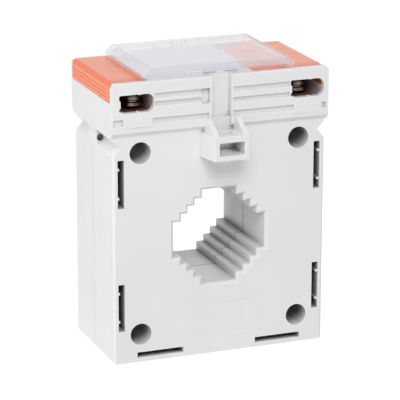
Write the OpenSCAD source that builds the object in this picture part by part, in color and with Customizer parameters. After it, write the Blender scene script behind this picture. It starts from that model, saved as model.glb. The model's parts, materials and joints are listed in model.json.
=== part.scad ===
// Window-type current transformer in a two-shell plastic housing.
// X runs across the front, the front faces -Y, +Z is up.
// The origin is the centre of the base face.

/* [Housing] */
// Width of the body
body_w = 71; // [70:0.5:76]
// Depth of the body, front face to rear face
body_d = 36; // [35:0.5:42]
// Height at which the terminal head begins
head_z = 73.9; // [73.4:0.1:75]
// Height of the top of the head
top_z = 91; // [90.6:0.1:92.4]
// How far the head stands out beyond the front and rear faces
head_lip = 1.4; // [1:0.1:2]
// How far the head stands out beyond each side
head_side = 0.6; // [0.3:0.1:1]
// Thickness of the front and rear faces
face_t = 2.4; // [2:0.1:2.4]
// Thickness of the side and bottom walls
wall_t = 2; // [1.8:0.1:2]

/* [Primary window] */
// Height of the window's centre above the base
win_z = 38.8; // [38.6:0.1:39]
// Thickness of the wall round the window
win_wall = 1.5; // [1.2:0.1:1.6]
// Width of the chamfer round the window's mouths
win_chamfer = 0.8; // [0.5:0.1:0.9]

/* [Fixing holes and foot slots] */
// Diameter of the four corner holes
hole_d = 7; // [5:0.1:7.2]
// Distance between corner holes across the width
hole_px = 53; // [52.6:0.1:53.6]
// Distance between corner holes over the height
hole_pz = 59; // [58.6:0.1:59.4]
// Height of the lower corner holes
hole_z = 9.3; // [9.2:0.1:9.5]
// Length of the foot slots
slot_l = 15.5; // [13:0.5:15.5]
// Depth of the foot slots
slot_depth = 12; // [6:0.5:12]

/* [Clamp lug] */
// How far the lug stands out from the front face
lug_len = 10; // [9.5:0.5:12]
// Diameter of the clamp screw hole through the lug
lug_hole_d = 4.2; // [3.2:0.1:4.4]

/* [Terminals] */
// Distance of each terminal screw from the middle
term_x = 27.4; // [27.2:0.1:27.6]
// Diameter of the screw head
screw_head_d = 7; // [6.6:0.1:7.2]
// Diameter of the clamping washer
clamp_d = 8.4; // [8:0.1:8.6]

/* [Caps and cover] */
// Thickness of the cap plates
cap_t = 1.2; // [1:0.1:1.3]
// Height of the top of the clear cover above the head
cover_h = 3.7; // [3.2:0.1:4.5]
// Width of the clear cover
cover_w = 50.4; // [50:0.1:50.6]
// Thickness of the clear cover
cover_t = 1.2; // [1:0.1:1.3]

/* [Hidden] */
$fn = 64;
eps = 0.05;

// Main planes
bx = body_w / 2;
by = body_d / 2;
hx = bx + head_side;
hy = by + head_lip;
seam_y = 0.8;            // parting plane between the two shells
seam_gap = 0.3;          // width and depth of the line moulded along the parting plane

// Window: half width and half height of the bars it takes
win_bars = [[15.5, 5.8], [12.8, 8.25], [10.6, 10.6], [8.25, 12.8], [5.8, 15.5]];

// Chambers
ring_top = head_z - 0.5;
head_floor = head_z + 1.5;
head_wall = 1.9;
side_in = hx - 1.6;      // inner face of the head's side walls
rear_top_in = hy - 1;    // inner face of the rear wall beside the caps
flank_z = 84.6;          // top of the head's side walls
deck_t = 1.6;
deck_left = -23.6;
deck_right = 11.2;
part_x = 20.6;           // walls beside the terminal compartments
part_t = 1.4;
term_y = -by + 6.2;
block_y = -5;            // rear end of the terminal blocks
block_z = 79.5;

// Foot slots
slot_w = 2.1;
slot_x = 31.85;
slot_z = [10.8, 51];
slot_bx = 12.25;
slot_bz = 1.5;
slot_bw = 1.8;
sleeve_t = 1.2;

// Side notches under the head
notch_z = 70.4;
notch_in = 2.5;
web_y = [-3, 4.6];
web_hole_d = 2.3;

// Ring: inner radius, outer radius and half length of each layer
core_r = [21.5, 29];
core_y = 11;
cup_t = 1;
wire_t = 1;
tape_t = 0.3;
cup_gap = 0.05;
cup_r = [core_r[0] - cup_gap - cup_t, core_r[1] + cup_gap + cup_t];
cup_y = core_y + cup_gap + cup_t;
wind_r = [cup_r[0] - cup_gap - wire_t, cup_r[1] + cup_gap + wire_t];
wind_y = cup_y + cup_gap + wire_t;
tape_r = [wind_r[0] - cup_gap - tape_t, wind_r[1] + cup_gap + tape_t];
tape_y = wind_y + cup_gap + tape_t;

// Wire entries: left ends, width, lower and upper edges
entry_x = [-33.75, 23.1];
entry_w = 11.3;
entry_z = [81.6, 87.3];

// Terminals
bar_z = [block_z, 81.5];
clamp_z = 82.8;
clamp_t = 0.9;
spring_t = 0.7;
spring_d = 6.4;
head_h = 2.8;
shank_d = 4;
shank_end = 76.7;
lead_d = 1.8;
lead_x = 14;
lead_y = -3.4;
lead_turn = 77.2;

// Caps
cap_gap = 0.1;
cap_end = [-24, 11.5];
cap_round = [2, 14];
cap_flank = 1.4;
cap_low = 84.7;
cap_bevel = 1.3;
border_w = 3.8;
border_drop = 0.5;
tongue = 0.45;
arm_z = [88.2, 89.2];
arm_w = 1.4;
arm_end = [-8, 5.6];
grip_z = [86.0, 87.2, 88.4];

// Clear cover
cov_y = [-17, 18];
cov_z = top_z + 0.25;
cov_flange = top_z + 1.6;
cov_bevel = 2.1;
hinge_y = 18.2;
hinge_z = top_z + 1.25;
knuckle_r = 1;
pin_r = 0.6;
ear_r = 1.1;
ear_gap = 0.2;
ear_t = 1.3;
knuckle_x = 2.5;
knuckle_l = 4.6;

// A box from one corner to the opposite corner
module box(a, b) {
    translate(a) cube([b[0] - a[0], b[1] - a[1], b[2] - a[2]]);
}

// A profile drawn in X and Z, carried from one depth to another
module along_y(y0, y1) {
    translate([0, y1, 0]) rotate([90, 0, 0]) linear_extrude(y1 - y0) children();
}

// A profile drawn in Y and Z, carried from one side to another
module along_x(x0, x1) {
    translate([x0, 0, 0]) rotate([90, 0, 90]) linear_extrude(x1 - x0) children();
}

// A rectangle with rounded corners
module round_rect(x0, x1, y0, y1, r) {
    translate([x0 + r, y0]) square([x1 - x0 - 2 * r, y1 - y0]);
    translate([x0, y0 + r]) square([x1 - x0, y1 - y0 - 2 * r]);
    for (x = [x0 + r, x1 - r]) for (y = [y0 + r, y1 - r]) translate([x, y]) circle(r);
}

// The stepped opening, made of the bars it takes, each with some extra on every side
module window_profile(extra) {
    for (b = win_bars)
        translate([-b[0] - extra, win_z - b[1] - extra]) square(2 * [b[0] + extra, b[1] + extra]);
}

// One chamfered mouth of the window, widening towards the face at yf
module window_mouth(yf, s) {
    c = win_chamfer;
    for (b = win_bars) intersection() {
        translate([0, 0, win_z - b[1] - c]) linear_extrude(2 * (b[1] + c))
            polygon([[-b[0], yf - s * c], [-b[0] - c, yf], [-b[0] - c, yf + s * eps],
                     [b[0] + c, yf + s * eps], [b[0] + c, yf], [b[0], yf - s * c]]);
        along_x(-b[0] - c, b[0] + c)
            polygon([[yf - s * c, win_z - b[1]], [yf, win_z - b[1] - c], [yf + s * eps, win_z - b[1] - c],
                     [yf + s * eps, win_z + b[1] + c], [yf, win_z + b[1] + c], [yf - s * c, win_z + b[1]]]);
    }
}

// Block of the body with softened edges
module body_block() {
    e = 0.6;
    intersection() {
        linear_extrude(head_z + 1)
            polygon([[-bx, -by + e], [-bx + e, -by], [bx - e, -by], [bx, -by + e],
                     [bx, by - e], [bx - e, by], [-bx + e, by], [-bx, by - e]]);
        along_y(-by, by) round_rect(-bx, bx, 0, head_z + 3, 1);
    }
}

// Block of the terminal head: undercut front and rear, rounded upper corners
module head_block() {
    e = 0.4;
    intersection() {
        along_x(-hx, hx)
            polygon([[-by, head_z - 0.2], [-by, head_z], [-hy, head_z + head_lip], [-hy, top_z - e],
                     [-hy + e, top_z], [hy - e, top_z], [hy, top_z - e], [hy, head_z + 2.1],
                     [by, head_z], [by, head_z - 0.2]]);
        along_y(-hy, hy) round_rect(-hx, hx, head_z - 6, top_z, 1.5);
    }
}

// Lug for the busbar clamp screw, with its two gusset ribs
module lug() {
    yo = -by - lug_len;
    intersection() {
        translate([0, 0, 65]) linear_extrude(10)
            polygon([[-7, -by + eps], [-5.56, yo], [5.56, yo], [7, -by + eps]]);
        along_x(-7, 7)
            polygon([[-by + eps, 65.5], [-by + eps, 73.2], [yo, 73.65], [yo, 65.9]]);
    }
    for (s = [-1, 1])
        along_x(s > 0 ? 4.06 : -5.56, s > 0 ? 5.56 : -4.06)
            polygon([[-by + eps, 72], [yo + 0.2, 72], [yo + 0.2, 73.7], [-by - 3, 77.8], [-hy + 1.8, 77.8],
                     [-hy + 1.8, 74]]);
}

// Space round the ring, inside the body
module ring_chamber() {
    difference() {
        box([-bx + wall_t, -by + face_t, wall_t], [bx - wall_t, by - face_t, ring_top]);
        along_y(-by, by) window_profile(win_wall);
        for (x = [-hole_px / 2, hole_px / 2]) for (z = [hole_z, hole_z + hole_pz])
            along_y(-by, by) translate([x, z]) circle(4.9);
        for (s = [-1, 1]) {
            x0 = slot_x - sleeve_t;
            for (f = [[-by, -by + slot_depth + sleeve_t], [by - slot_depth - sleeve_t, by]]) {
                for (z = slot_z)
                    box([min(s * x0, s * bx), f[0], z - sleeve_t], [max(s * x0, s * bx), f[1], z + slot_l + sleeve_t]);
                x1 = slot_bx - sleeve_t;
                x2 = slot_bx + slot_l + sleeve_t;
                box([min(s * x1, s * x2), f[0], 0], [max(s * x1, s * x2), f[1], slot_bz + slot_bw + sleeve_t]);
            }
            box([s > 0 ? 31.3 : -bx, -by, 65.2], [s > 0 ? bx : -31.3, by, ring_top + 1]);
        }
    }
}

// Blind slots that take the plug-on feet, on both faces
module foot_slots() {
    for (s = [-1, 1]) for (f = [[-by - 1, -by + slot_depth], [by - slot_depth, by + 1]]) {
        for (z = slot_z) difference() {
            box([min(s * slot_x, s * (slot_x + slot_w)), f[0], z],
                [max(s * slot_x, s * (slot_x + slot_w)), f[1], z + slot_l]);
            for (q = [0.2, 0.8])
                box([min(s * (slot_x + 1.4), s * (slot_x + slot_w)), -by + 0.5, z + q * slot_l - 0.4],
                    [max(s * (slot_x + 1.4), s * (slot_x + slot_w)), by - 0.5, z + q * slot_l + 0.4]);
        }
        box([min(s * slot_bx, s * (slot_bx + slot_l)), f[0], slot_bz],
            [max(s * slot_bx, s * (slot_bx + slot_l)), f[1], slot_bz + slot_bw]);
    }
}

// V notches down both sides, broken by a web with a small hole
module side_notches() {
    for (s = [-1, 1]) {
        for (f = [[-hy - 1, web_y[0]], [web_y[1], hy + 1]])
            along_y(f[0], f[1])
                polygon([[s * (bx - notch_in), notch_z], [s * (bx + 1.5), notch_z - 4.64],
                         [s * (bx + 1.5), notch_z + 4.26]]);
        along_y(web_y[0] - 1, web_y[1] + 1) translate([s * (bx - 1.2), notch_z]) circle(web_hole_d / 2);
    }
}

// Space inside the head, with the terminal blocks, walls, deck and shelf left standing
module head_chamber() {
    difference() {
        box([-side_in, -hy + head_wall, head_floor], [side_in, hy - head_wall, top_z + 1]);
        for (s = [-1, 1]) {
            box([s > 0 ? part_x : -side_in, -hy, head_floor - 1], [s > 0 ? side_in : -part_x, block_y, block_z]);
            box([s > 0 ? part_x : -part_x - part_t, -hy, head_floor - 1],
                [s > 0 ? part_x + part_t : -part_x, block_y, arm_z[0] - 0.1]);
            for (y = [[-hy, -hy + head_wall + 1.4], [hy - head_wall - 1.4, hy]])
                box([s > 0 ? 8 : -part_x, y[0], arm_z[0] - 1.4], [s > 0 ? part_x : -8, y[1], arm_z[0] - 0.1]);
        }
        box([-7.6, -hy, head_floor - 1], [5, -hy + 4.8, top_z]);
        box([deck_left, -hy, top_z - deck_t], [deck_right, hy, top_z]);
        box([deck_right - 1, -hy + head_wall + 1.9, arm_z[0]], [part_x, hy - head_wall - 1.9, top_z - cap_t - 0.15]);
    }
    // room for the cap plates, their tongues and their flanks
    for (c = [[-hx - 1, deck_left], [deck_right, hx + 1]]) {
        box([c[0], -hy + head_wall, top_z - cap_t - 0.15], [c[1], rear_top_in, top_z + 1]);
        box([c[0], -hy + head_wall - tongue - 0.1, top_z - cap_t - 0.1],
            [c[1], rear_top_in + tongue, top_z - cap_t + 0.7]);
    }
    for (s = [-1, 1])
        box([s > 0 ? side_in - eps : -hx - 1, -hy + head_wall, flank_z], [s > 0 ? hx + 1 : -side_in + eps, rear_top_in, top_z + 1]);
    // holes in the floor where the leads come up
    for (s = [-1, 1]) translate([s * lead_x, 0, ring_top - 1]) cylinder(d = lead_d + 0.8, h = 4);
    // pilot holes under the terminal screws
    for (s = [-1, 1]) translate([s * term_x, term_y, shank_end - 1.6]) cylinder(d = shank_d + 0.6, h = 10);
}

// One wire entry: round at the right, two shallow lobes at the left
module wire_entry(x0) {
    x1 = x0 + entry_w;
    along_y(-hy - 1, -hy + head_wall + eps) {
        round_rect(x1 - 6, x1, entry_z[0], entry_z[1], 2.2);
        translate([x0 + 0.45, entry_z[0] + 0.5]) square([6, entry_z[1] - entry_z[0] - 0.5]);
        translate([x0 + 1.2, entry_z[0]]) square([5, 1]);
        round_rect(x0, x0 + 3, entry_z[1] - 1.8, entry_z[1], 0.5);
        round_rect(x0, x0 + 3, entry_z[0] + 0.4, entry_z[0] + 1.7, 0.5);
    }
}

// Grooves, recesses and the central channel of the head's front
module front_relief() {
    g = -hy + 1;
    box([-22.2, -hy - 1, 85.7], [-6, g, 87.3]);
    box([-22.2, -hy - 1, 83.2], [-6, g, 84.7]);
    box([-6.8, -hy - 1, 82.4], [-3.9, -hy + 1.9, 87.4]);
    box([-22.9, -hy - 1, 77.8], [-4.2, g, 79.5]);
    box([-35.8, -hy - 1, 77.6], [-32.6, g, 79.7]);
    box([3.75, -hy - 1, 85.5], [22.8, g, 87.1]);
    box([3.75, -hy - 1, 82.2], [22.8, g, 83.7]);
    box([3.75, -hy - 1, 77.7], [24.3, g, 79.5]);
    box([33.5, -hy - 1, 77.7], [35.2, g, 79.5]);
    box([-3.35, -hy - 1, 77.4], [3.2, -hy + 3.1, top_z + 1]);
    box([-3.35, -hy - 1, 73.5], [3.2, -by, 77.5]);
    box([-10, -by - 0.5, 6.1], [9.6, -by + 0.2, 17]);
}

// Grooves of the head's rear
module rear_relief() {
    for (z = [77.8, 82.4, 85.5])
        box([-32, hy - 1, z], [32, hy + 1, z + 1.6]);
}

// Both shells together
module housing() {
    difference() {
        union() {
            body_block();
            head_block();
        }
        ring_chamber();
        head_chamber();
        side_notches();
        foot_slots();
        along_y(-by - 1, by + 1) window_profile(0);
        window_mouth(-by, -1);
        window_mouth(by, 1);
        for (x = [-hole_px / 2, hole_px / 2]) for (z = [hole_z, hole_z + hole_pz])
            along_y(-by - 1, by + 1) translate([x, z]) circle(hole_d / 2);
        for (x = entry_x) wire_entry(x);
        front_relief();
        rear_relief();
    }
    // raised pads beside the lower grooves, left bare
    box([-32.6, -hy - 0.3, 77], [-23.3, -hy + eps, 79.9]);
    box([24.3, -hy - 0.3, 76.5], [33.5, -hy + eps, 79.6]);
}

// The fine line along the parting plane, on the front shell's edge
module parting_line() {
    difference() {
        box([-hx - 1, seam_y - seam_gap, -1], [hx + 1, seam_y + 1, 66.5]);
        box([-bx + seam_gap, seam_y - 2, seam_gap], [bx - seam_gap, seam_y + 2, head_z + 1]);
    }
    along_y(seam_y - seam_gap, seam_y + 1) window_profile(seam_gap);
}

// Locating lip between the shells: two sides and the bottom
module seam_lip(gap) {
    a = wall_t - 1 - gap / 2;
    y0 = seam_y - 1.5 - gap;
    for (s = [-1, 1])
        box([s > 0 ? bx - wall_t - eps : -bx + wall_t - 0.8 - gap, y0, 30],
            [s > 0 ? bx - wall_t + 0.8 + gap : -bx + wall_t + eps, seam_y + 1, 48]);
    box([-9, y0, a], [9, seam_y + 1, wall_t + eps]);
}

// Front shell: front face, half the window tube, wire entries and clamp lug
module front_shell() {
    color("gainsboro") union() {
        difference() {
            housing();
            box([-hx - 2, seam_y, -2], [hx + 2, hy + 2, top_z + 4]);
            seam_lip(0.1);
            parting_line();
        }
        difference() {
            lug();
            box([-4.18, -by - lug_len - 1, 67.45], [4.18, -by - 1.5, 71.65]);
            translate([0, -by - 4.4, 60]) cylinder(d = lug_hole_d, h = 20);
        }
    }
}

// Rear shell: rear face, the other half of the tube, locating lip and cover hinge ears
module rear_shell() {
    color("gainsboro") {
        difference() {
            union() {
                housing();
                for (s = [-1, 1]) for (x = ear_x())
                    along_x(min(s * x, s * (x + ear_t)), max(s * x, s * (x + ear_t))) {
                        translate([hinge_y, hinge_z]) circle(ear_r);
                        translate([hinge_y - ear_r, top_z - 0.5]) square([2 * ear_r, hinge_z - top_z + 0.5]);
                    }
            }
            box([-hx - 2, -hy - 2, -2], [hx + 2, seam_y, top_z + 4]);
            for (s = [-1, 1]) for (x = ear_x())
                along_x(min(s * (x - 1), s * (x + 3)), max(s * (x - 1), s * (x + 3)))
                    translate([hinge_y, hinge_z]) circle(pin_r + 0.05);
        }
        intersection() {
            seam_lip(0);
            box([-hx, seam_y - 1.5, 0], [hx, seam_y + 0.5, head_z]);
        }
    }
}

// Inner edges of the hinge ears, each side of a knuckle
function ear_x() = [knuckle_x - ear_gap - ear_t, knuckle_x + knuckle_l + ear_gap];

// A ring about the window's axis, between two radii and two depths
module ring(r0, r1, y0, y1) {
    translate([0, y1, win_z]) rotate([90, 0, 0]) rotate_extrude($fn = 96)
        translate([r0, 0]) square([r1 - r0, y1 - y0]);
}

// A closed jacket round a ring, with the ring's space left inside
module jacket(outer_r, outer_y, inner_r, inner_y) {
    translate([0, outer_y, win_z]) rotate([90, 0, 0]) rotate_extrude($fn = 96) difference() {
        translate([outer_r[0], 0]) square([outer_r[1] - outer_r[0], 2 * outer_y]);
        translate([inner_r[0], outer_y - inner_y]) square([inner_r[1] - inner_r[0], 2 * inner_y]);
    }
}

// Strip-wound magnetic core
module core() {
    color("slategray") ring(core_r[0], core_r[1], -core_y, core_y);
}

// Insulating cups over the core, one from each side
module core_cup_front() {
    color("black") difference() {
        ring(cup_r[0], cup_r[1], -cup_y, -0.05);
        ring(core_r[0] - cup_gap, core_r[1] + cup_gap, -core_y - cup_gap, 1);
    }
}

module core_cup_rear() {
    color("black") difference() {
        ring(cup_r[0], cup_r[1], 0.05, cup_y);
        ring(core_r[0] - cup_gap, core_r[1] + cup_gap, -1, core_y + cup_gap);
    }
}

// Secondary winding laid round the cups
module winding() {
    color("chocolate") jacket(wind_r, wind_y, [cup_r[0] - cup_gap, cup_r[1] + cup_gap], cup_y + cup_gap);
}

// Insulating tape round the winding
module winding_tape() {
    color("gold") jacket(tape_r, tape_y, [wind_r[0] - cup_gap, wind_r[1] + cup_gap], wind_y + cup_gap);
}

// Foam pads that hold the ring between the two faces
module pad_front() {
    color("dimgray") ring(22, 29, -by + face_t, -tape_y);
}

module pad_rear() {
    color("dimgray") ring(22, 29, tape_y, by - face_t);
}

// Lead from the winding up through the floor and across to a terminal bar
module lead(s) {
    r = lead_d / 2;
    color("firebrick") difference() {
        union() {
            translate([s * lead_x, 0, 66]) cylinder(r = r, h = lead_turn - 66);
            translate([s * lead_x, 0, lead_turn]) sphere(r);
            translate([s * lead_x, 0, lead_turn]) rotate([90, 0, 0]) cylinder(r = r, h = -lead_y);
            translate([s * lead_x, lead_y, lead_turn]) sphere(r);
            translate([s * lead_x, lead_y, lead_turn]) rotate([0, s * 90, 0]) cylinder(r = r, h = term_x - lead_x);
            translate([s * term_x, lead_y, lead_turn]) sphere(r);
            translate([s * term_x, lead_y, lead_turn]) cylinder(r = r, h = bar_z[0] - lead_turn);
        }
        translate([0, 20, win_z]) rotate([90, 0, 0]) cylinder(r = tape_r[1] + 0.02, h = 40, $fn = 96);
    }
}

module lead_left() { lead(-1); }

module lead_right() { lead(1); }

// Terminal bar: plated, with a threaded hole and a solder tail at the rear
module terminal_bar(s) {
    color("silver") difference() {
        box([s * term_x - 4.4, -by + 0.9, bar_z[0]], [s * term_x + 4.4, -2, bar_z[1]]);
        translate([s * term_x, term_y, bar_z[0] - 1]) cylinder(d = shank_d + 0.12, h = 5);
    }
}

module terminal_bar_left() { terminal_bar(-1); }

module terminal_bar_right() { terminal_bar(1); }

// Clamping washer that presses on the wire
module clamp_washer(s) {
    color("silver") translate([s * term_x, term_y, clamp_z]) difference() {
        union() {
            cylinder(d = clamp_d, h = clamp_t * 0.55);
            translate([0, 0, 0.3]) cylinder(d = clamp_d - 0.6, h = clamp_t - 0.3);
        }
        translate([0, 0, -1]) cylinder(d = shank_d + 0.12, h = 3);
    }
}

module clamp_washer_left() { clamp_washer(-1); }

module clamp_washer_right() { clamp_washer(1); }

// Split spring washer
module spring_washer(s) {
    color("silver") translate([s * term_x, term_y, clamp_z + clamp_t]) difference() {
        cylinder(d = spring_d, h = spring_t);
        translate([0, 0, -1]) cylinder(d = shank_d + 0.4, h = 3);
        rotate([0, 0, 60]) box([0, -0.3, -1], [5, 0.3, 3]);
    }
}

module spring_washer_left() { spring_washer(-1); }

module spring_washer_right() { spring_washer(1); }

// Terminal screw with a cross recess
module terminal_screw(s) {
    z0 = clamp_z + clamp_t + spring_t;
    color("silver") translate([s * term_x, term_y, 0]) difference() {
        union() {
            translate([0, 0, z0]) cylinder(d = screw_head_d, h = head_h - 0.8);
            translate([0, 0, z0 + 1]) cylinder(d = screw_head_d - 0.9, h = head_h - 1);
            translate([0, 0, shank_end]) cylinder(d = shank_d, h = z0 - shank_end + 0.5);
        }
        for (a = [25, 115]) translate([0, 0, z0 + head_h - 1.3]) rotate([0, 0, a])
            box([-2.1, -0.45, 0], [2.1, 0.45, 3]);
    }
}

module terminal_screw_left() { terminal_screw(-1); }

module terminal_screw_right() { terminal_screw(1); }

// Sliding cap over a terminal compartment: plate, outer flank, tongues and two runners
module cap(s, x_end, a_end) {
    yf = -hy + head_wall + cap_gap;
    yr = rear_top_in - cap_gap;
    z0 = top_z - cap_t;
    xi = s > 0 ? x_end : -hx;
    xo = s > 0 ? hx : x_end;
    intersection() {
        along_x(xi, xo)
            polygon([[yf, cap_low], [yf, top_z - border_drop], [yf + border_w, top_z], [yr, top_z],
                     [yr, cap_low]]);
        along_y(yf, yr)
            polygon([[s * hx, cap_low], [s * hx, top_z - cap_bevel], [s * (hx - cap_bevel), top_z],
                     [x_end, top_z], [x_end, z0], [s * (hx - cap_flank - 0.4), z0],
                     [s * (hx - cap_flank), z0 - 0.4], [s * (hx - cap_flank), cap_low]]);
        difference() {
            linear_extrude(top_z + 1)
                polygon([[x_end, yf], [s * (hx - border_drop), yf], [s * hx, yf + border_w], [s * hx, yr],
                         [x_end, yr]]);
            for (z = grip_z) along_y(yf + border_w, yr + 1)
                polygon([[s * (hx + 0.3), z - 0.5], [s * (hx - 0.3), z - 0.1], [s * (hx - 0.3), z + 0.1],
                         [s * (hx + 0.3), z + 0.5]]);
        }
    }
    // tongues along the front and rear edges
    for (y = [[yf - tongue, yf + 0.3], [yr - 0.3, yr + tongue - cap_gap]])
        box([s > 0 ? x_end + 3 : -hx + 0.6, y[0], z0], [s > 0 ? hx - 0.6 : x_end, y[1], z0 + 0.5]);
    // runners under the deck
    for (y = [[yf, yf + arm_w], [hy - head_wall - 0.1 - arm_w, hy - head_wall - 0.1]]) {
        box([s > 0 ? a_end : -hx + cap_flank + 0.6, y[0], arm_z[0]],
            [s > 0 ? hx - cap_flank - 0.6 : a_end, y[1], arm_z[1]]);
        box([s > 0 ? hx - cap_flank - 8 : -hx + cap_flank + 0.6, y[0], arm_z[0]],
            [s > 0 ? hx - cap_flank - 0.6 : -hx + cap_flank + 8, y[1], z0 + 0.1]);
    }
}

module cap_left() {
    color("orangered") cap(-1, cap_end[0], arm_end[0]);
}

// Cuts one inner corner of a cap plate to a round of radius r; s is 1 for the rear corner
module inner_round(x, y, s, r) {
    translate([0, 0, top_z - cap_t - eps]) linear_extrude(cap_t + 1) difference() {
        translate([x - 1, s > 0 ? y - r : y - 2]) square([r + 1, r + 2]);
        translate([x + r, y - s * r]) circle(r);
    }
}

module cap_right() {
    color("orangered") difference() {
        cap(1, cap_end[1], arm_end[1]);
        inner_round(cap_end[1], -hy + head_wall + cap_gap, -1, cap_round[0]);
        inner_round(cap_end[1], rear_top_in - cap_gap, 1, cap_round[1]);
    }
}

// Rating plate lying on the deck, bare
module rating_plate() {
    color("whitesmoke") box([deck_left + 0.3, -15.3, top_z], [deck_right - 0.3, 16.2, top_z + 0.2]);
}

// Clear cover: shallow tray with sloped sides, hinged along its rear edge
module clear_cover() {
    cx = cover_w / 2;
    cz = top_z + cover_h;
    color([0.85, 0.87, 0.95, 0.35]) {
        difference() {
            union() {
                along_y(cov_y[0], cov_y[1])
                    polygon([[-cx, cov_z], [-cx, cov_flange], [-cx + cov_bevel, cz], [cx - cov_bevel, cz],
                             [cx, cov_flange], [cx, cov_z]]);
                // snap tab and catch bar on the front edge
                box([-10.7, cov_y[0] - 0.45, cov_z - 0.15], [-5.9, cov_y[0] + 0.5, cov_z + 1.4]);
                box([-5.5, cov_y[0] - 0.3, cov_z], [6.2, cov_y[0] + 0.5, cov_z + 0.9]);
            }
            along_y(cov_y[0] + cover_t, cov_y[1] - cover_t)
                polygon([[-cx + cover_t, cov_z - 1], [-cx + cover_t, cov_flange - 0.45],
                         [-cx + cov_bevel + 0.55, cz - cover_t], [cx - cov_bevel - 0.55, cz - cover_t],
                         [cx - cover_t, cov_flange - 0.45], [cx - cover_t, cov_z - 1]]);
            // sealing slots in the catch bar
            for (x = [-4.9, 2.2])
                box([x, cov_y[0] - 1, cov_z + 0.25], [x + 3.2, cov_y[0] + 0.1, cov_z + 0.65]);
            // room for the hinge ears
            for (s = [-1, 1]) {
                xa = ear_x()[0] - 0.3;
                xb = ear_x()[1] + ear_t + 0.3;
                box([min(s * xa, s * xb), cov_y[1] - cover_t - 0.3, cov_z - 1],
                    [max(s * xa, s * xb), cov_y[1] + 1, hinge_z + ear_r + 0.25]);
            }
        }
        for (s = [-1, 1]) {
            along_x(min(s * knuckle_x, s * (knuckle_x + knuckle_l)), max(s * knuckle_x, s * (knuckle_x + knuckle_l))) {
                translate([hinge_y, hinge_z]) circle(knuckle_r);
                translate([cov_y[1] - 1, hinge_z]) square([0.9, cz - hinge_z - 0.5]);
            }
            xa = ear_x()[0] + 0.1;
            xb = ear_x()[1] + ear_t - 0.1;
            along_x(min(s * xa, s * xb), max(s * xa, s * xb)) translate([hinge_y, hinge_z]) circle(pin_r);
        }
    }
}

front_shell();
rear_shell();
core();
core_cup_front();
core_cup_rear();
winding();
winding_tape();
pad_front();
pad_rear();
lead_left();
lead_right();
terminal_bar_left();
terminal_bar_right();
clamp_washer_left();
clamp_washer_right();
spring_washer_left();
spring_washer_right();
terminal_screw_left();
terminal_screw_right();
cap_left();
cap_right();
rating_plate();
clear_cover();
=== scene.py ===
import json
import math

import bmesh
import bpy
from mathutils import Matrix, Vector


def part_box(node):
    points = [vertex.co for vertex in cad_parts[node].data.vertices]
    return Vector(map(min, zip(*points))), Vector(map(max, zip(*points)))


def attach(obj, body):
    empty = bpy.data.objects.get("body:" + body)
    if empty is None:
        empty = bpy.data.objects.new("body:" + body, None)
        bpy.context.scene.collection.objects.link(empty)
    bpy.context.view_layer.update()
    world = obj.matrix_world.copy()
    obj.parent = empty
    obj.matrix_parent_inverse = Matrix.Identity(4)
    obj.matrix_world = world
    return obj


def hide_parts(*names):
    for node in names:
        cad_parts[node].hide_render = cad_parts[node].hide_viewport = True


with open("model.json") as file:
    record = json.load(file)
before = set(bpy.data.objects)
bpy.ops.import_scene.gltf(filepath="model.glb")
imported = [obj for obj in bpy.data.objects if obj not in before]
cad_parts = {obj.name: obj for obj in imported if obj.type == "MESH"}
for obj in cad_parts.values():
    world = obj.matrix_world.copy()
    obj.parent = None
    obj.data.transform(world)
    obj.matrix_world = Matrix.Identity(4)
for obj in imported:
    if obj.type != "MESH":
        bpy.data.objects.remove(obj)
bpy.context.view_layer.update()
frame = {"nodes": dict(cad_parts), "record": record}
MM = 0.001

# Places on the part that its materials go by
WINDOW_Z = 38.8 * MM
FRONT_Y = -18 * MM
SEAM_Y = 0.65 * MM
BLOCK_TOP_Z = 79.5 * MM
COVER_FOOT_Z = 91.7 * MM


# ---------- materials ----------

def lin(c):
    """Linear values of an sRGB colour."""
    return tuple((v / 12.92 if v <= 0.04045 else ((v + 0.055) / 1.055) ** 2.4) for v in c)


def level(v):
    """A plain number written as a colour, so that it can be mixed like one."""
    return (v, v, v)


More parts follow.
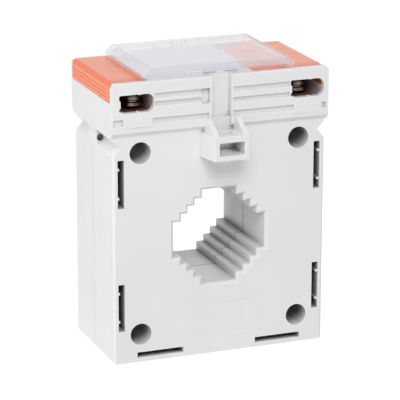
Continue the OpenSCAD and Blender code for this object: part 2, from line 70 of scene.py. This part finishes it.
class Mat:
    """A Principled material and short calls for its nodes."""

    def __init__(self, name):
        self.m = bpy.data.materials.new(name)
        self.m.use_nodes = True
        self.nt = self.m.node_tree
        self.b = self.nt.nodes["Principled BSDF"]
        self.tc = self.nt.nodes.new("ShaderNodeTexCoord")

    def set(self, **kw):
        """Plain values on the shader; a low line stands for a space in the name."""
        for k, v in kw.items():
            self.b.inputs[k.replace("_", " ")].default_value = v

    def link(self, out, name):
        self.nt.links.new(out, self.b.inputs[name])

    def plug(self, sock, v):
        """Feeds a socket from another node, or gives it a number or a colour."""
        if hasattr(v, "node"):
            self.nt.links.new(v, sock)
        elif isinstance(v, tuple):
            sock.default_value = (*v, 1)
        else:
            sock.default_value = v

    def noise(self, scale, detail=3, rough=0.5, stretch=(1, 1, 1)):
        mp = self.nt.nodes.new("ShaderNodeMapping")
        mp.inputs["Scale"].default_value = stretch
        n = self.nt.nodes.new("ShaderNodeTexNoise")
        n.inputs["Scale"].default_value = scale
        n.inputs["Detail"].default_value = detail
        n.inputs["Roughness"].default_value = rough
        self.nt.links.new(self.tc.outputs["Object"], mp.inputs[0])
        self.nt.links.new(mp.outputs[0], n.inputs["Vector"])
        return n.outputs["Fac"]

    def rng(self, src, a, b, lo=0, hi=1):
        """Maps a to b onto lo to hi and holds it there outside."""
        r = self.nt.nodes.new("ShaderNodeMapRange")
        for k, v in zip(("From Min", "From Max", "To Min", "To Max"), (a, b, lo, hi)):
            self.plug(r.inputs[k], v)
        self.nt.links.new(src, r.inputs[0])
        return r.outputs[0]

    def mix(self, f, a, b):
        x = self.nt.nodes.new("ShaderNodeMix")
        x.data_type = "RGBA"
        for sock, v in zip((x.inputs[0], x.inputs[6], x.inputs[7]), (f, a, b)):
            self.plug(sock, v)
        return x.outputs[2]

    def cloud(self, noise, a, b, spread=0.2):
        """Two sRGB colours mixed in soft patches."""
        return self.mix(self.rng(noise, 0.5 - spread, 0.5 + spread), lin(a), lin(b))

    def join(self, f, a, b):
        x = self.nt.nodes.new("ShaderNodeMixShader")
        for sock, v in zip(x.inputs, (f, a, b)):
            self.plug(sock, v)
        return x.outputs[0]

    def calc(self, op, a, b=0.0):
        x = self.nt.nodes.new("ShaderNodeMath")
        x.operation = op
        self.plug(x.inputs[0], a)
        self.plug(x.inputs[1], b)
        return x.outputs[0]

    def times(self, a, b):
        return self.calc("MULTIPLY", a, b)

    def axis(self, name, space="Object"):
        x = self.nt.nodes.new("ShaderNodeSeparateXYZ")
        self.nt.links.new(self.tc.outputs[space], x.inputs[0])
        return x.outputs[name]

    def off(self, name, centre=0.0, space="Object"):
        """Distance from a centre plane along one axis."""
        return self.calc("ABSOLUTE", self.calc("SUBTRACT", self.axis(name, space), centre))

    def occlusion(self, reach, local, inside):
        ao = self.nt.nodes.new("ShaderNodeAmbientOcclusion")
        ao.inputs["Distance"].default_value = reach
        ao.samples = 8
        ao.only_local = local
        ao.inside = inside
        return ao.outputs["AO"]

    def openness(self, reach, shut, free, local=True):
        """0 deep inside holes and slots, 1 in the open; local leaves the other pieces out."""
        return self.rng(self.occlusion(reach, local, False), shut, free)

    def depth(self, reach, shut, free):
        """1 deep inside holes and slots, 0 in the open, with all pieces counted."""
        return self.rng(self.occlusion(reach, False, False), shut, free, 1, 0)

    def corners(self, shut=0.55, free=0.95):
        """1 along the piece's outer corners, 0 on its flat faces."""
        return self.rng(self.occlusion(0.5 * MM, True, True), shut, free, 1, 0)

    def bump(self, heights, strength):
        """Stacks bumps given as (height, distance)."""
        prev = None
        for h, dist in heights:
            n = self.nt.nodes.new("ShaderNodeBump")
            n.inputs["Strength"].default_value = strength
            n.inputs["Distance"].default_value = dist
            self.nt.links.new(h, n.inputs["Height"])
            if prev:
                self.nt.links.new(prev, n.inputs["Normal"])
            prev = n.outputs[0]
        self.link(prev, "Normal")

    def see_through(self, haze, flat, flat_haze, tint):
        """Sloped walls pass light straight, the flat plate refracts it, and lamps pass almost freely."""
        n = self.nt.nodes
        facing = n.new("ShaderNodeLayerWeight")
        facing.inputs["Blend"].default_value = 0.5
        grazing_gloss = self.calc("POWER", facing.outputs["Facing"], 5.0)
        clear = n.new("ShaderNodeBsdfTransparent")
        clear.inputs[0].default_value = (*tint, 1)
        glass = n.new("ShaderNodeBsdfPrincipled")
        glass.inputs["Base Color"].default_value = (*tint, 1)
        glass.inputs["Roughness"].default_value = 0.02
        glass.inputs["IOR"].default_value = 1.5
        glass.inputs["Transmission Weight"].default_value = 1.0
        walls = self.join(self.calc("ADD", haze, grazing_gloss), clear.outputs[0], self.b.outputs[0])
        plate = self.join(flat_haze, glass.outputs[0], self.b.outputs[0])
        # a ray that came straight through a wall leaves the plate straight too
        solid = n.new("ShaderNodeNewGeometry")
        steep = self.calc("GREATER_THAN", facing.outputs["Facing"], 0.3)
        stray = self.times(solid.outputs["Backfacing"], steep)
        flat = self.times(flat, self.calc("SUBTRACT", 1.0, stray))
        path = n.new("ShaderNodeLightPath")
        lamp = self.calc("MAXIMUM", path.outputs["Is Shadow Ray"], path.outputs["Is Diffuse Ray"])
        lamp_share = self.rng(lamp, 0, 1, 0, 0.9)
        whole = self.join(lamp_share, self.join(flat, walls, plate), clear.outputs[0])
        self.nt.links.new(whole, n["Material Output"].inputs[0])


def shell_plastic():
    """Satin white plastic, with painted shade in its deep holes and a painted warm glow behind the wire
    entries.
    """
    m = Mat("shell_plastic")
    c = m.cloud(m.noise(45, 4, 0.55), (0.885, 0.884, 0.881), (0.902, 0.902, 0.900))

    # inside the window, painted shade: darker towards the rear and in the corners of the steps
    from_middle = m.calc("MAXIMUM", m.off("X"), m.off("Z", WINDOW_Z))
    tunnel = m.rng(from_middle, 15.8 * MM, 16.6 * MM, 1, 0)
    tunnel = m.times(tunnel, m.rng(m.axis("Y"), FRONT_Y, 3 * MM, 0.15, 1.0))
    c = m.mix(m.times(tunnel, m.depth(30 * MM, 0.14, 0.55)), c, lin((0.90, 0.90, 0.92)))
    c = m.mix(m.times(tunnel, m.depth(6 * MM, 0.42, 0.82)), c, lin((0.36, 0.36, 0.38)))

    # painted highlight along the outer corners, but not along the seam between the shells
    light = m.rng(m.off("Y", SEAM_Y), 0.6 * MM, 0.8 * MM, 0, 0.48)
    c = m.mix(m.times(m.corners(), light), c, lin((0.955, 0.955, 0.95)))

    # painted shade in holes and slots: sooner in the body, its side slots and the terminal niches, later at
    # the lug
    high = m.rng(m.axis("Z"), BLOCK_TOP_Z, BLOCK_TOP_Z + 2 * MM)
    niche = m.times(m.rng(m.off("X"), 21 * MM, 24 * MM), high)
    body = m.rng(m.axis("Z"), BLOCK_TOP_Z - 1 * MM, BLOCK_TOP_Z, 1, 0)
    side_slots = m.times(m.rng(m.off("X"), 27.5 * MM, 28 * MM), body)
    lug = m.rng(m.axis("Y"), FRONT_Y - 0.6 * MM, FRONT_Y - 0.2 * MM, 1, 0)
    free = m.mix(body, level(0.25), level(0.32))
    free = m.mix(side_slots, free, level(0.43))
    free = m.mix(niche, free, level(0.36))
    free = m.mix(lug, free, level(0.12))
    # painted shade colour: grey, and red-brown in the terminal niches as a painted glow of the orange caps
    deep = m.mix(niche, lin((0.31, 0.30, 0.28)), lin((0.46, 0.17, 0.12)))
    m.link(m.mix(m.openness(10 * MM, 0.01, free), deep, c), "Base Color")

    m.link(m.rng(m.noise(160), 0.3, 0.7, 0.34, 0.44), "Roughness")
    m.bump([(m.noise(900, 2, 0.6), 0.02 * MM), (m.noise(70, 2), 0.06 * MM)], 0.35)
    m.set(IOR=1.5)
    return m.m


def cap_plastic():
    """Glossy orange plastic, with the outer and front borders of its top painted a fuller orange as a
    painted weaker sheen.
    """
    m = Mat("cap_plastic")
    c = m.cloud(m.noise(60, 4), (0.93, 0.425, 0.06), (0.955, 0.455, 0.09))
    # painted sheen: the top's front and outer borders get a fuller orange where they mirror less of the
    # bright sky
    front = m.rng(m.axis("Y"), -12.8 * MM, -12.2 * MM, 1, 0)
    outer = m.rng(m.off("X"), 34.6 * MM, 35 * MM)
    top = m.rng(m.axis("Z"), 89.4 * MM, 89.7 * MM)
    c = m.mix(m.times(m.calc("MAXIMUM", front, outer), top), c, lin((0.90, 0.37, 0.03)))
    # painted shade: darker, redder orange in the cap's grooves and crevices
    c = m.mix(m.openness(3 * MM, 0.0, 0.20), lin((0.74, 0.22, 0.06)), c)
    m.link(c, "Base Color")
    m.link(m.rng(m.noise(200), 0.3, 0.7, 0.24, 0.32), "Roughness")
    m.bump([(m.noise(60, 2), 0.04 * MM)], 0.2)
    m.set(IOR=1.5, Coat_Weight=0.45, Coat_Roughness=0.14)
    return m.m


def clear_plastic():
    """Clear plastic: glass-like in its flat plate, faintly milky in its sloped walls, with a painted
    highlight along its rims.
    """
    m = Mat("clear_plastic")
    # painted highlight: the rims get a lighter colour
    rim = m.corners()
    milk = m.cloud(m.noise(140), (0.86, 0.855, 0.88), (0.88, 0.875, 0.90), 0.15)
    m.link(m.mix(rim, milk, lin((0.97, 0.97, 0.975))), "Base Color")
    m.link(m.rng(m.noise(90), 0.3, 0.7, 0.10, 0.18), "Roughness")
    m.bump([(m.noise(120, 2), 0.03 * MM)], 0.15)
    m.set(IOR=1.5)
    upright = m.rng(m.off("Z", 0.0, "Normal"), 0.90, 0.98)
    behind_front = m.rng(m.axis("Y"), -16.4 * MM, -16.0 * MM)
    between_slopes = m.rng(m.off("X"), 22.2 * MM, 22.6 * MM, 1, 0)
    flat = m.times(upright, m.times(behind_front, between_slopes))
    haze = m.rng(m.axis("Z"), COVER_FOOT_Z, COVER_FOOT_Z + 0.4 * MM, 0.05, 0.36)
    # the painted rim highlight is also made more milky, so that it shows
    haze = m.calc("ADD", haze, m.times(rim, 0.3))
    m.see_through(haze, flat, 0.17, lin((0.992, 0.992, 0.996)))
    return m.m


def plate_film():
    m = Mat("plate_film")
    m.link(m.cloud(m.noise(120, 4), (0.885, 0.885, 0.90), (0.90, 0.90, 0.915), 0.15), "Base Color")
    m.set(Roughness=0.35)
    m.bump([(m.noise(80, 2), 0.04 * MM)], 0.2)
    return m.m


def nickel():
    """Plated steel: dull in the light, with a painted dark brown reflection where it would mirror the
    inside of the head, and painted shade in its own tight corners.
    """
    m = Mat("nickel")
    c = m.cloud(m.noise(400, 4, 0.6), (0.60, 0.54, 0.51), (0.78, 0.73, 0.70))
    # painted reflection: dark brown where the metal would mirror the dark inside of the head
    c = m.mix(m.openness(9 * MM, 0.30, 0.80, False), lin((0.22, 0.13, 0.12)), c)
    # painted shade: red-brown in the piece's own tight corners
    c = m.mix(m.openness(2 * MM, 0.05, 0.40), lin((0.36, 0.14, 0.10)), c)
    m.link(c, "Base Color")
    m.set(Metallic=1.0)
    m.link(m.rng(m.noise(300), 0.3, 0.7, 0.14, 0.28), "Roughness")
    m.bump([(m.noise(500, 2), 0.02 * MM)], 0.3)
    return m.m


def simple(name, a, b, rough, metal=0.0, scale=200, stretch=(1, 1, 1), depth=0.04 * MM):
    """Two close colours in soft patches, with a matching roughness and a fine bump."""
    m = Mat(name)
    n = m.noise(scale, 4, 0.6, stretch)
    m.link(m.cloud(n, a, b), "Base Color")
    m.set(Metallic=metal)
    m.link(m.rng(n, 0.3, 0.7, rough - 0.08, rough + 0.08), "Roughness")
    m.bump([(n, depth)], 0.4)
    return m.m


M = {
    "shell": shell_plastic(),
    "cap": cap_plastic(),
    "clear": clear_plastic(),
    "plate": plate_film(),
    "nickel": nickel(),
    "catch": simple("smoked_catch", (0.58, 0.56, 0.58), (0.68, 0.66, 0.68), 0.3),
    "bar": simple("bar_metal", (0.62, 0.38, 0.33), (0.78, 0.52, 0.46), 0.4, 0.7, 300),
    "core": simple("strip_steel", (0.42, 0.43, 0.46), (0.56, 0.57, 0.60), 0.35, 1.0, 300, (1, 0.05, 1)),
    "cup": simple("black_cup", (0.05, 0.05, 0.055), (0.09, 0.09, 0.09), 0.5),
    "wire": simple("copper_wire", (0.60, 0.28, 0.14), (0.78, 0.42, 0.24), 0.3, 0.9, 500, (1, 0.1, 1)),
    "tape": simple("yellow_tape", (0.80, 0.62, 0.12), (0.88, 0.72, 0.22), 0.3, 0.0, 150),
    "pad": simple("foam_pad", (0.10, 0.10, 0.10), (0.18, 0.18, 0.18), 0.9, 0.0, 900, (1, 1, 1), 0.2 * MM),
    "lead": simple("lead_cover", (0.45, 0.07, 0.05), (0.55, 0.10, 0.07), 0.4),
}
SLOT = {s["node"]: s["material_slot"] for s in frame["record"]["subparts"]}
BODY = {n: b for b, ns in frame["record"]["behaviour"]["bodies"].items() for n in ns}


# ---------- pieces from the CAD's own shapes, with moulded edges ----------

def link_object(name, bm):
    """Ends a bmesh as an object in the scene."""
    me = bpy.data.meshes.new(name)
    bm.to_mesh(me)
    bm.free()
    o = bpy.data.objects.new(name, me)
    bpy.context.collection.objects.link(o)
    return o


def bevelled(node, width, segments=3):
    """A copy of a CAD node with small rounded edges; it stands for the node."""
    src = frame["nodes"][node]
    bm = bmesh.new()
    bm.from_mesh(src.data)
    bm.transform(src.matrix_world)
    bmesh.ops.remove_doubles(bm, verts=bm.verts, dist=0.002 * MM)
    bmesh.ops.dissolve_limit(bm, angle_limit=math.radians(0.6), verts=bm.verts, edges=bm.edges)
    for f in bm.faces:
        f.smooth = True
    o = link_object(node + "_dressed", bm)
    o.data.materials.append(M[SLOT[node]])
    b = o.modifiers.new("edges", "BEVEL")
    b.width = width
    b.segments = segments
    b.limit_method = "ANGLE"
    b.angle_limit = math.radians(28)
    b.harden_normals = False
    b.use_clamp_overlap = True
    b.miter_outer = "MITER_SHARP"
    w = o.modifiers.new("normals", "WEIGHTED_NORMAL")
    w.keep_sharp = True
    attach(o, BODY[node])
    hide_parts(node)
    return o


def new_object(name, bm, slot, body):
    bmesh.ops.recalc_face_normals(bm, faces=bm.faces)
    o = link_object(name, bm)
    o.data.materials.append(M[slot])
    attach(o, body)
    return o


def lathe(bm, profile, cx, cy, steps=64):
    """Turns (radius, height) points, listed from the lower axis point to the upper one."""
    rings = []
    for r, z in profile:
        turns = [2 * math.pi * i / steps for i in range(steps if r > 0 else 1)]
        rings.append([bm.verts.new((cx + r * math.cos(a), cy + r * math.sin(a), z)) for a in turns])
    for a, b in zip(rings, rings[1:]):
        for i in range(steps):
            quad = [a[i % len(a)], a[(i + 1) % len(a)], b[(i + 1) % len(b)], b[i % len(b)]]
            bm.faces.new(list(dict.fromkeys(quad)))


RECT = ((-1, -1), (1, -1), (1, 1), (-1, 1))


def cross_cutter(cx, cy, z0, z1, long, thin):
    """A crossed pair of tapered blades, for the driver's recess."""
    bm = bmesh.new()
    for a, b in ((long, thin), (thin, long)):
        low = [bm.verts.new((cx + sx * a * 0.45, cy + sy * b * 0.8, z0)) for sx, sy in RECT]
        top = [bm.verts.new((cx + sx * a, cy + sy * b, z1)) for sx, sy in RECT]
        bm.faces.new(low[::-1])
        bm.faces.new(top)
        for i in range(4):
            bm.faces.new([low[i], low[(i + 1) % 4], top[(i + 1) % 4], top[i]])
    bmesh.ops.recalc_face_normals(bm, faces=bm.faces)
    return link_object("cutter", bm)


NECK_R = 1.62 * MM
CREST_R = 2.0 * MM
PITCH = 0.7 * MM
DOME_TOP_R = 1.5 * MM


def screw_head(side, lo, hi, seat):
    """Domed pan head with a crossed recess, on a plain neck; it stands for the CAD screw."""
    node = "terminal_screw_" + side
    cx, cy = (lo.x + hi.x) / 2, (lo.y + hi.y) / 2
    head_r = (hi.x - lo.x) / 2
    rim = seat + 0.55 * MM
    profile = [(0, lo.z), (NECK_R * 0.7, lo.z), (NECK_R, lo.z + 0.5 * MM), (NECK_R, seat),
               (head_r - 0.3 * MM, seat), (head_r - 0.08 * MM, seat + 0.1 * MM),
               (head_r, seat + 0.3 * MM), (head_r, rim)]
    dome_steps = 12
    for i in range(1, dome_steps + 1):
        a = math.radians(90) * i / dome_steps
        profile.append((head_r - (head_r - DOME_TOP_R) * (1 - math.cos(a)),
                        rim + (hi.z - rim) * math.sin(a)))
    profile.append((0, hi.z))
    bm = bmesh.new()
    lathe(bm, profile, cx, cy)
    o = new_object(node + "_dressed", bm, SLOT[node], BODY[node])

    cutter = cross_cutter(cx, cy, hi.z - 1.5 * MM, hi.z + 0.3 * MM, 1.95 * MM, 0.5 * MM)
    cut = o.modifiers.new("recess", "BOOLEAN")
    cut.object = cutter
    cut.solver = "EXACT"
    cut.use_self = True
    shape = bpy.data.meshes.new_from_object(o.evaluated_get(bpy.context.evaluated_depsgraph_get()))
    o.modifiers.clear()
    o.data = shape
    bpy.data.objects.remove(cutter)
    for f in o.data.polygons:
        f.use_smooth = True
    o.data.set_sharp_from_angle(angle=math.radians(35))
    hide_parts(node)


def screw_thread(side, lo, hi, seat):
    """Rolled thread: a three-sided strip wound round the neck, run out at both ends."""
    node = "terminal_screw_" + side
    cx, cy = (lo.x + hi.x) / 2, (lo.y + hi.y) / 2
    steps = 28
    turns = (seat - lo.z - 1.5 * MM) / PITCH
    bm = bmesh.new()
    last = None
    for i in range(int(steps * turns) + 1):
        a = 2 * math.pi * i / steps
        z = lo.z + 0.7 * MM + PITCH * i / steps
        grow = min(1, i / steps, (steps * turns - i) / steps)
        section = ((NECK_R - 0.1 * MM, -0.33 * MM), (NECK_R + (CREST_R - NECK_R) * grow, 0),
                   (NECK_R - 0.1 * MM, 0.33 * MM))
        ring = [bm.verts.new((cx + r * math.cos(a), cy + r * math.sin(a), z + dz)) for r, dz in section]
        if last:
            for j in range(3):
                bm.faces.new([last[j], last[(j + 1) % 3], ring[(j + 1) % 3], ring[j]])
        else:
            bm.faces.new(ring)
        last = ring
    bm.faces.new(last[::-1])
    new_object("screw_thread_" + side, bm, SLOT[node], BODY[node])


def cover_catch(side):
    """Small smoked latch block behind the cover's front edge."""
    x0, x1 = {"left": (-5.5 * MM, -1.1 * MM), "right": (1.9 * MM, 6.2 * MM)}[side]
    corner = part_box("clear_cover")[0]
    size = Vector((x1 - x0, 0.5 * MM, 0.6 * MM))
    centre = Vector(((x0 + x1) / 2, corner[1] + 0.75 * MM, corner[2] + 0.75 * MM))
    bm = bmesh.new()
    bmesh.ops.create_cube(bm, size=1)
    for v in bm.verts:
        v.co = Vector(a * b for a, b in zip(v.co, size)) + centre
    bmesh.ops.bevel(bm, geom=bm.edges[:], offset=0.12 * MM, segments=2, affect="EDGES")
    new_object("cover_catch_" + side, bm, "clear", "cover").data.materials[0] = M["catch"]


for n, o in frame["nodes"].items():
    o.data.materials.clear()
    o.data.materials.append(M[SLOT[n]])

bevelled("front_shell", 0.3 * MM)
bevelled("rear_shell", 0.3 * MM)
bevelled("cap_left", 0.4 * MM)
bevelled("cap_right", 0.4 * MM)
bevelled("clear_cover", 0.3 * MM)
for side in ("left", "right"):
    low, top = (Vector(v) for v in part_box("terminal_screw_" + side))
    washer_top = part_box("spring_washer_" + side)[1][2]
    screw_head(side, low, top, washer_top)
    screw_thread(side, low, top, washer_top)
    cover_catch(side)
    bevelled("spring_washer_" + side, 0.18 * MM)
    bevelled("clamp_washer_" + side, 0.14 * MM)
    bevelled("terminal_bar_" + side, 0.15 * MM, 2).data.materials[0] = M["bar"]


# ---------- floor, light and camera ----------

def looked_at(nt):
    """1 for what is seen directly, through the clear cover or in a reflection, 0 for the light itself."""
    path = nt.nodes.new("ShaderNodeLightPath")
    out = path.outputs["Is Camera Ray"]
    for name in ("Is Transmission Ray", "Is Glossy Ray"):
        either = nt.nodes.new("ShaderNodeMath")
        either.operation = "MAXIMUM"
        nt.links.new(out, either.inputs[0])
        nt.links.new(path.outputs[name], either.inputs[1])
        out = either.outputs[0]
    return out


def stage_material():
    """White where it is looked at, apart from the object's shadow, and pale to the lamps."""
    m = bpy.data.materials.new("floor_white")
    m.use_nodes = True
    nt = m.node_tree
    nt.nodes.clear()
    out = nt.nodes.new("ShaderNodeOutputMaterial")
    glow = nt.nodes.new("ShaderNodeEmission")
    glow.inputs["Strength"].default_value = 0.76
    pale = nt.nodes.new("ShaderNodeBsdfDiffuse")
    pale.inputs[0].default_value = (0.5, 0.5, 0.5, 1)
    white = nt.nodes.new("ShaderNodeBsdfDiffuse")
    white.inputs[0].default_value = (0.86, 0.86, 0.86, 1)
    seen = nt.nodes.new("ShaderNodeAddShader")
    nt.links.new(glow.outputs[0], seen.inputs[0])
    nt.links.new(pale.outputs[0], seen.inputs[1])
    mix = nt.nodes.new("ShaderNodeMixShader")
    nt.links.new(looked_at(nt), mix.inputs[0])
    nt.links.new(white.outputs[0], mix.inputs[1])
    nt.links.new(seen.outputs[0], mix.inputs[2])
    nt.links.new(mix.outputs[0], out.inputs[0])
    return m


FLOOR_HALF = 3
floor_me = bpy.data.meshes.new("floor")
floor_me.from_pydata([(x * FLOOR_HALF, y * FLOOR_HALF, 0) for x, y in RECT], [], [(0, 1, 2, 3)])
floor_me.materials.append(stage_material())
floor = bpy.data.objects.new("floor", floor_me)
bpy.context.collection.objects.link(floor)

SKY_LIGHT = 0.40
SKY_SEEN = 1.0
scene = bpy.context.scene
world = bpy.data.worlds.new("studio")
scene.world = world
world.use_nodes = True
sky = world.node_tree
sky_shader = sky.nodes["Background"]
sky_shader.inputs[0].default_value = (1, 1, 1, 1)
strength = sky.nodes.new("ShaderNodeMapRange")
strength.inputs["To Min"].default_value = SKY_LIGHT
strength.inputs["To Max"].default_value = SKY_SEEN
sky.links.new(looked_at(sky), strength.inputs[0])
sky.links.new(strength.outputs[0], sky_shader.inputs[1])


def area(name, loc, target, size, power, tone=(1, 1, 1)):
    """A soft rectangular lamp that points at a target."""
    d = bpy.data.lights.new(name, "AREA")
    d.shape = "RECTANGLE"
    d.size, d.size_y = size
    d.energy = power
    d.color = tone
    o = bpy.data.objects.new(name, d)
    o.location = loc
    o.rotation_mode = "QUATERNION"
    o.rotation_quaternion = (Vector(target) - Vector(loc)).to_track_quat("-Z", "Y")
    bpy.context.collection.objects.link(o)


area("key", (-0.25, -0.75, 0.75), (0, 0, 0.04), (0.5, 0.5), 6.0)
area("left", (-0.9, 0.0, 0.35), (0, 0, 0.05), (0.5, 0.6), 2.95, (0.95, 0.97, 1.0))

AZ, EL, ROLL = math.radians(-21.45), math.radians(16.53), math.radians(0.146)
CAMERA_PLACE = (-0.27085, -0.69022, 0.26556)
back = Vector((math.sin(AZ) * math.cos(EL), -math.cos(AZ) * math.cos(EL), math.sin(EL)))
level_right = Vector((math.cos(AZ), math.sin(AZ), 0))
level_up = back.cross(level_right)
right = level_right * math.cos(ROLL) + level_up * math.sin(ROLL)
up = level_up * math.cos(ROLL) - level_right * math.sin(ROLL)
cam_d = bpy.data.cameras.new("camera")
cam_d.sensor_width = 36
cam_d.lens = 217.05
cam_d.clip_start = 0.05
cam_d.clip_end = 20
cam = bpy.data.objects.new("camera", cam_d)
turn = Matrix((right, up, back)).transposed()
cam.matrix_world = Matrix.Translation(CAMERA_PLACE) @ turn.to_4x4()
bpy.context.collection.objects.link(cam)
scene.camera = cam
scene.view_settings.view_transform = "Standard"
